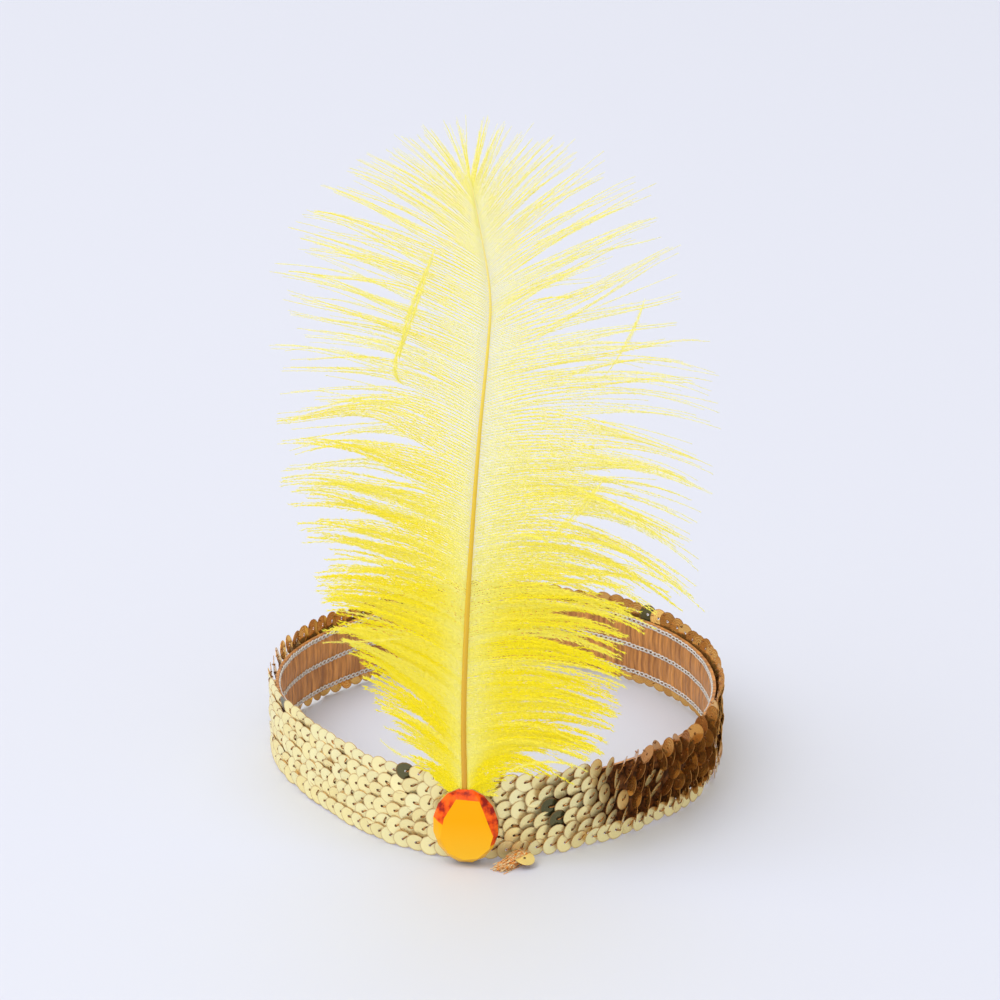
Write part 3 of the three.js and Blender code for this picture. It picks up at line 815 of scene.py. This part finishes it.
# The vanes are built in four heights. Their fineness changes evenly up the shaft: each row is
# a height, the spacing and radius of the barbs, the spacing, length and radius of the barbules,
# how closely a lock's barbs cling, how much of the barb's dye its barbules show, and how much
# the locks lift, droop and wave. Lengths are in millimetres.
VANE_ZONES = {
    "low": (18.5, 62.0),
    "waist": (62.0, 104.0),
    "middle": (104.0, 150.0),
    "high": (150.0, 217.6),
}
FINENESS = np.array([
    (24.0, 0.30, 0.155, 0.44, 2.7, 0.120, 0.55, 1.00, 0.8),
    (60.0, 0.34, 0.155, 0.44, 2.7, 0.120, 0.55, 0.94, 0.7),
    (75.0, 0.35, 0.150, 0.45, 2.7, 0.115, 0.64, 0.90, 0.9),
    (95.0, 0.38, 0.130, 0.45, 2.5, 0.100, 0.82, 0.80, 1.3),
    (120.0, 0.45, 0.125, 0.49, 2.0, 0.078, 0.91, 0.68, 1.4),
    (150.0, 0.49, 0.125, 0.54, 1.7, 0.058, 0.95, 0.50, 1.1),
    (190.0, 0.48, 0.122, 0.55, 1.6, 0.052, 0.95, 0.44, 0.8),
    (205.0, 0.38, 0.112, 0.56, 1.6, 0.052, 0.74, 0.44, 0.4),
    (220.0, 0.28, 0.105, 0.56, 1.6, 0.052, 0.50, 0.44, 0.1),
])
GATHER_FROM = 0.08
# How far a lock lifts at its tip, how far its outer half curls and how wide it waves.
LOCK_LIFT = 0.0026
LOCK_CURL = 0.0034
LOCK_WAVE = 0.0011
# The share of barbs that lie loose, and how far they and the others stray from their lock.
LOOSE_SHARE = 0.08
LOOSE_STRAY = 0.0022
BARB_STRAY = 0.0004
VANE_DEPTH = 0.0035
BARB_STEPS = 14


def barb_lines(rows, side, roots, shares, deeper):
    """Places along barbs: roots by barb, and shares of the barb's length by barb and step."""
    reach = np.interp(roots, rows[:, 0], rows[:, 1])[:, None] * side
    rise = np.interp(roots, rows[:, 0], rows[:, 2])[:, None]
    arch = np.interp(roots, rows[:, 0], rows[:, 3])[:, None]
    span = np.hypot(reach, rise)
    start = shaft_place(roots)[:, None]
    crest_x = start + reach / 2 - side * rise / span * arch * 2
    crest_z = roots[:, None] + rise / 2 + np.abs(reach) / span * arch * 2
    back = 1 - shares
    x = back**2 * start + 2 * back * shares * crest_x + shares**2 * (start + reach)
    z = back**2 * roots[:, None] + 2 * back * shares * crest_z + shares**2 * (roots[:, None] + rise)
    y = PLUME_PLANE - VANE_CUP * ((x - start) / VANE_REACH) ** 2 - deeper
    return np.stack([x, y, z], axis=2)


def fineness(level, column):
    return np.interp(np.asarray(level) * 1000, FINENESS[:, 0], FINENESS[:, column])


def barbules(lines, spacing, fringe, thick, rng):
    """Fine closed spikes on both sides of every barb, laid forward along it. Their spacing,
    length and radius are given for each barb."""
    steps = lines.shape[1]
    lengths = np.linalg.norm(np.diff(lines, axis=1), axis=2).sum(axis=1)
    counts = np.maximum((lengths / spacing).astype(int) * 2, 2)
    barb = np.repeat(np.arange(len(lines)), counts)
    share = rng.uniform(0.01, 1.0, len(barb))
    place = share * (steps - 1)
    step = np.minimum(place.astype(int), steps - 2)
    part = (place - step)[:, None]
    foot = lines[barb, step] * (1 - part) + lines[barb, step + 1] * part
    run = lines[barb, step + 1] - lines[barb, step]
    run /= np.linalg.norm(run, axis=1)[:, None]
    aside = np.cross(run, np.array([0.0, 1.0, 0.0]))
    aside /= np.linalg.norm(aside, axis=1)[:, None]
    swing = rng.uniform(0.16, 0.62, len(barb)) * rng.choice([-1.0, 1.0], len(barb))
    away = run * np.cos(swing)[:, None] + aside * np.sin(swing)[:, None]
    away[:, 1] += rng.uniform(-0.35, 0.35, len(barb))
    thick = thick[barb][:, None]
    long = fringe[barb] * rng.uniform(0.55, 1.0, len(barb)) * (0.5 + 0.5 * smooth_step(0, 0.15, share))
    shorter = np.interp(fringe, [0.0018, 0.0026], [0.65, 0.45])[barb]
    long *= 1 - shorter * smooth_step(0.5, 1.0, share)
    flat = np.cross(away, np.array([0.0, 1.0, 0.0]))
    flat /= np.linalg.norm(flat, axis=1)[:, None]
    deep = np.cross(flat, away)
    corners = [foot + thick * flat]
    corners.append(foot - thick * (0.5 * flat - 0.87 * deep))
    corners.append(foot - thick * (0.5 * flat + 0.87 * deep))
    corners.append(foot + away * long[:, None])
    points = np.stack(corners, axis=1).reshape(-1, 3)
    spike = np.array([(0, 1, 2), (0, 3, 1), (1, 3, 2), (2, 3, 0)])
    faces = spike[None] + (np.arange(len(barb)) * 4)[:, None, None]
    return points, faces.reshape(-1, 3), barb, share


glowing_dyed_barb, nodes, links, shader = new_material("yellow_dyed_glowing_barb")
dye = nodes.new("ShaderNodeAttribute")
dye.attribute_name = "dye"
dye_tone = nodes.new("ShaderNodeValToRGB")
dye_tone.color_ramp.elements[0].color = (0.97, 0.955, 0.67, 1.0)
dye_tone.color_ramp.elements[1].color = (1.0, 0.925, 0.035, 1.0)
dye_middle = dye_tone.color_ramp.elements.new(0.5)
dye_middle.color = (0.99, 0.95, 0.31, 1.0)
glow = nodes.new("ShaderNodeBsdfTranslucent")
blend = nodes.new("ShaderNodeMixShader")
blend.inputs["Fac"].default_value = 0.5
links.new(dye.outputs["Fac"], dye_tone.inputs["Fac"])
links.new(dye_tone.outputs["Color"], shader.inputs["Base Color"])
links.new(dye_tone.outputs["Color"], glow.inputs["Color"])
links.new(dye_tone.outputs["Color"], shader.inputs["Emission Color"])
links.new(shader.outputs["BSDF"], blend.inputs[1])
links.new(glow.outputs["BSDF"], blend.inputs[2])
links.new(blend.outputs["Shader"], nodes["Material Output"].inputs["Surface"])
shader.inputs["Roughness"].default_value = 0.6
shader.inputs["Specular IOR Level"].default_value = 0.2
# Light passes on from barb to barb in a real plume far more often than it is followed here, so
# the dyed barbs are given the part that goes missing as a faint painted glow of their own colour.
shader.inputs["Emission Strength"].default_value = 0.28


def plume_piece(name, lines, radii, depth_of_dye, haze, fine, rng):
    points, faces = strands(lines, radii)
    steps = lines.shape[1]
    along = np.linspace(0, 1, steps)
    taken = 0.5 + 0.5 * smooth_step(0.03, 0.32, along)
    dyes = np.repeat((depth_of_dye[:, None] * taken[None]).ravel(), 3)
    more_points, more_faces, barb, share = barbules(lines, *fine, rng)
    fine_dye = depth_of_dye[barb] * np.interp(share, along, taken) * haze[barb]
    paler = np.repeat(fine_dye, 4).reshape(-1, 4)
    paler[:, 3] *= 0.55 + 0.4 * haze[barb]
    all_points = np.concatenate([points, more_points])
    all_faces = np.concatenate([faces, more_faces + len(points)])
    piece = mesh_piece(name, all_points, all_faces, glowing_dyed_barb, "plume", "ostrich_plume")
    dye_of = piece.data.attributes.new("dye", "FLOAT", "POINT")
    dye_of.data.foreach_set("value", np.clip(np.concatenate([dyes, paler.ravel()]), 0, 1))
    return piece


def vane(side_name, side, rows, zone, rng):
    marks = np.arange(*VANE_ZONES[zone], 0.02) * 0.001
    passed = np.cumsum(0.02 / fineness(marks, 1))
    roots = np.interp(np.arange(1, passed[-1]), passed, marks)
    count = len(roots)
    uneven = np.interp(roots, [0.07, 0.11, 0.13, 0.18], [0.72, 0.9, 1.0, 0.4])
    ends = 1 - 0.36 * uneven * rng.uniform(0, 1, count) ** 1.7
    shares = np.linspace(0, 1, BARB_STEPS)[None] * ends[:, None]
    own = barb_lines(rows, side, roots, shares, 0.0)

    # Every second barb lies in the front layer and the others behind it. In each layer the
    # barbs gather in locks of their own, so the gaps of one layer show barbs of the other.
    layer = np.arange(count) % 2
    locks = np.zeros(count, dtype=int)
    for number in range(2):
        members = np.flatnonzero(layer == number)
        parting = np.interp(roots[members], [0.08, 0.11, 0.15, 0.205], [0.32, 0.24, 0.24, 0.4])
        locks[members] = np.cumsum(rng.uniform(0, 1, len(members)) < parting) * 2 + number
    lock_count = locks.max() + 1
    sizes = np.maximum(np.bincount(locks, minlength=lock_count), 1)
    middles = (np.bincount(locks, roots, minlength=lock_count) / sizes)[locks]
    middles = np.clip(middles, rows[0, 0], rows[-1, 0])
    longer = 1 + rng.normal(0, 0.08, lock_count)[locks] * uneven
    lift, curl, wave = np.clip(rng.normal(0, 1, (3, lock_count)), -1.5, 1.5)[:, locks, None]
    phase = rng.uniform(0, 6.28, lock_count)[locks][:, None]
    sway = fineness(roots, 8)[:, None]
    leader = barb_lines(rows, side, middles, shares * longer[:, None], 0.0)
    bend = LOCK_LIFT * lift * shares + LOCK_CURL * curl * smooth_step(0.4, 1.0, shares)
    leader[..., 2] += sway * (bend + LOCK_WAVE * wave * shares * np.sin(6 * shares + phase))
    leader[..., 2] += (roots - middles)[:, None] * (1 - 0.88 * smooth_step(0.1, 0.95, shares))
    loose = rng.uniform(0, 1, count) < LOOSE_SHARE
    held = np.clip(fineness(roots, 6) + rng.normal(0, 0.06, count), 0.4, 1.0)
    held = np.where(loose, rng.uniform(0.2, 0.6, count), held)[:, None]
    gathered = np.interp(roots, [0.05, 0.18], [0.8, 0.45])[:, None]
    cling = smooth_step(GATHER_FROM, gathered, shares) * held
    lines = own * (1 - cling[..., None]) + leader * cling[..., None]

    # Each barb wanders a little about its lock, and the loose ones stray further from it.
    wander = np.where(loose, LOOSE_STRAY, BARB_STRAY)[:, None] * smooth_step(0.25, 1.0, shares)
    lines[..., 2] += rng.normal(0, 1, count)[:, None] * wander
    lines[..., 0] += rng.normal(0, 1, count)[:, None] * wander * 0.6
    deep = (layer - 0.5 + rng.uniform(-0.6, 0.6, lock_count)[locks]) * VANE_DEPTH
    depth = deep + rng.normal(0, 0.0005, count)
    at_foot = np.abs(depth) * np.interp(middles, [0.022, 0.030], [0.1, 1.0])
    lines[..., 1] -= np.where(middles < 0.034, at_foot, depth)[:, None] * shares
    radii = np.linspace(1.0, 0.35, BARB_STEPS) * fineness(roots, 2)[:, None] * 0.001
    dyes = np.interp(roots, [0.024, 0.06, 0.10, 0.14, 0.2], [1.0, 0.95, 0.88, 0.84, 0.8])
    patchy = np.interp(roots, [0.10, 0.16], [0.14, 0.24])
    dyes = dyes + rng.normal(0, 1, lock_count)[locks] * patchy + rng.normal(0, 0.06, count)
    fine = [fineness(roots, column) * 0.001 for column in (3, 4, 5)]
    plume_piece(f"plume_{side_name}_{zone}", lines, radii, dyes, fineness(roots, 7), fine, rng)


left_rng = np.random.default_rng(21)
right_rng = np.random.default_rng(34)
for zone in VANE_ZONES:
    vane("left", -1.0, LEFT_VANE, zone, left_rng)
    vane("right", 1.0, RIGHT_VANE, zone, right_rng)

# Stray barbs
# A few bunches have come out of the vane and lie across it in front, as they do on any handled
# plume: one bright bunch on the left, fine ones on the right and a small hook near the middle.

# The run of each bunch, as places to the right and up in millimetres, how many barbs it has
# and how far they spread at its middle.
STRAYS = (
    {"barbs": 7, "wide": 0.9, "run": [(-6.9, 198.3), (-11.5, 184.0), (-15.0, 174.0), (-17.6, 164.0)]},
    {"barbs": 4, "wide": 0.8, "run": [(-15.0, 174.0), (-18.5, 165.3), (-19.4, 159.8), (-16.6, 155.9)]},
    {"barbs": 2, "wide": 0.5, "run": [(53.4, 186.2), (51.5, 179.5), (49.6, 173.0), (42.0, 161.7)]},
    {"barbs": 3, "wide": 0.3, "run": [(14.6, 109.8), (20.9, 112.5), (29.5, 112.0), (26.4, 103.9)]},
    {"barbs": 4, "wide": 1.0, "run": [(41.7, 129.2), (37.5, 124.0), (33.1, 117.0), (26.4, 110.2)]},
    {"barbs": 4, "wide": 1.0, "run": [(28.7, 128.3), (40.2, 126.7), (52.0, 119.7), (63.5, 111.5)]},
    {"barbs": 2, "wide": 0.5, "run": [(-9.9, 34.4), (-15.0, 36.5), (-20.0, 39.3), (-24.4, 41.2)]},
    {"barbs": 3, "wide": 0.5, "run": [(13.1, 32.1), (21.0, 39.6), (32.0, 41.0), (38.1, 35.4)]},
    {"barbs": 2, "wide": 0.4, "run": [(-16.8, 74.9), (-25.0, 76.0), (-33.0, 75.5), (-40.9, 73.5)]},
)
STRAY_FORWARD = 0.0045
STRAY_BARB = 0.00008
STRAY_BARBULES = (0.00040, 0.0022, 0.000045)
STRAY_DYE = 0.75

rng = np.random.default_rng(8)
stray_lines = []
for stray in STRAYS:
    run = np.array(stray["run"]) * 0.001
    share = np.linspace(0, 1, BARB_STEPS)[:, None]
    back = 1 - share
    middle = back**3 * run[0] + 3 * back**2 * share * run[1]
    middle = middle + 3 * back * share**2 * run[2] + share**3 * run[3]
    out = (middle[:, 0] - shaft_place(middle[:, 1])) / VANE_REACH
    raised = STRAY_FORWARD * np.sin(math.pi * share[:, 0] * 0.8 + 0.3)
    forward = PLUME_PLANE - VANE_CUP * out**2 - raised
    open_share = np.sin(math.pi * share[:, 0]) ** 1.5
    for barb in range(stray["barbs"]):
        aside = rng.normal(0, stray["wide"] * 0.001, 2) * (0.6, 0.4)
        line = np.column_stack([
            middle[:, 0] + aside[0] * open_share,
            forward + aside[1] * open_share,
            middle[:, 1],
        ])
        stray_lines.append(line)
stray_lines = np.array(stray_lines)
thin = STRAY_BARB * np.linspace(1.0, 0.4, BARB_STEPS)
radii = thin[None].repeat(len(stray_lines), axis=0)
each = np.ones(len(stray_lines))
fine = [each * size for size in STRAY_BARBULES]
plume_piece("plume_strays", stray_lines, radii, each * STRAY_DYE, each * STRAY_DYE, fine, rng)

# Seam tail
# The cut end of the tape comes out under the sequins beside the stone and has frayed into
# short copper and gold fibres, with one bent sequin left hanging over it.

TAIL_FIBRES = 170
TAIL_STEPS = 6
TAIL_WIDTH = 0.0042
TAIL_FIBRE = 0.00014
TAIL_ROOT = np.array([0.0188, -0.0655, 0.0020])
TAIL_TIP = np.array([0.0114, -0.0748, 0.0006])
rng = np.random.default_rng(17)
run = TAIL_TIP - TAIL_ROOT
aside = np.cross(run / np.linalg.norm(run), [0.0, 0.0, 1.0])
fibre_ends = rng.uniform(0.55, 1.05, TAIL_FIBRES)[:, None, None]
shares = np.linspace(0, 1, TAIL_STEPS)[None, :, None] * fibre_ends
spread = rng.uniform(-TAIL_WIDTH / 2, TAIL_WIDTH / 2, TAIL_FIBRES)[:, None, None]
fray = rng.normal(0, 0.0011, TAIL_FIBRES)[:, None, None]
tail_lines = TAIL_ROOT + run * shares + aside * (spread * (1 - 0.35 * shares) + fray * shares**2)
tail_lines[..., 2] += rng.uniform(-0.0005, 0.0016, TAIL_FIBRES)[:, None]
tail_lines[..., 2] += rng.normal(0, 0.0006, TAIL_FIBRES)[:, None] * np.sin(shares[..., 0] * 3)
tail_lines[..., 2] = np.maximum(tail_lines[..., 2], 0.0002)
radii = np.full(tail_lines.shape[:2], TAIL_FIBRE)
points, faces = strands(tail_lines, radii)
tail_fibre, nodes, links, shader = new_material("frayed_copper_fibre")
place = nodes.new("ShaderNodeTexCoord")
mottle = nodes.new("ShaderNodeTexNoise")
mottle.inputs["Scale"].default_value = 1100.0
tone = nodes.new("ShaderNodeValToRGB")
tone.color_ramp.elements[0].position = 0.38
tone.color_ramp.elements[0].color = (1.0, 0.36, 0.03, 1.0)
tone.color_ramp.elements[1].position = 0.62
tone.color_ramp.elements[1].color = (1.0, 0.86, 0.50, 1.0)
links.new(place.outputs["Object"], mottle.inputs["Vector"])
links.new(mottle.outputs["Fac"], tone.inputs["Fac"])
links.new(tone.outputs["Color"], shader.inputs["Base Color"])
shader.inputs["Roughness"].default_value = 0.35
shader.inputs["Metallic"].default_value = 0.1
mesh_piece("frayed_tail", points, faces, tail_fibre, "tail", "seam_tail")

# The bent sequin is a disc of the same film, curved down at both ends over the tail.
LOOSE_LEFT = np.array([0.0156, -0.0679, 0.0034])
LOOSE_RIGHT = np.array([0.0220, -0.0714, 0.0016])
LOOSE_LEAN = 85.0
LOOSE_BEND = 0.0004
LOOSE_LIFT = 0.0003
run = (LOOSE_RIGHT - LOOSE_LEFT) / np.linalg.norm(LOOSE_RIGHT - LOOSE_LEFT)
outward = np.cross(run, [0.0, 0.0, 1.0])
outward /= np.linalg.norm(outward)
lean = math.radians(LOOSE_LEAN)
face_out = outward * math.cos(lean) + np.cross(outward, run) * math.sin(lean)
rise = np.cross(face_out, run)
bent_points = disc_points.copy()
bent_points[:, 2] -= LOOSE_BEND * (bent_points[:, 0] / DISC_RADIUS) ** 2
middle = (LOOSE_LEFT + LOOSE_RIGHT) / 2 + LOOSE_LIFT * face_out
place = np.stack([run, rise, face_out, middle], axis=1)
points, faces = join_copies((bent_points, disc_faces), place[None])
points[:, 2] = np.maximum(points[:, 2], 0.0001)
loose = mesh_piece("bent_sequin", points, faces, gold_film, "sequins")
loose.data.materials.append(amber_film)
loose.data.polygons.foreach_set("material_index", np.where(BACK_FACES, 1, 0).astype(np.int32))
bpy.ops.object.select_all(action="DESELECT")
loose.select_set(True)
bpy.context.view_layer.objects.active = loose
bpy.ops.object.shade_smooth_by_angle(angle=math.radians(30))
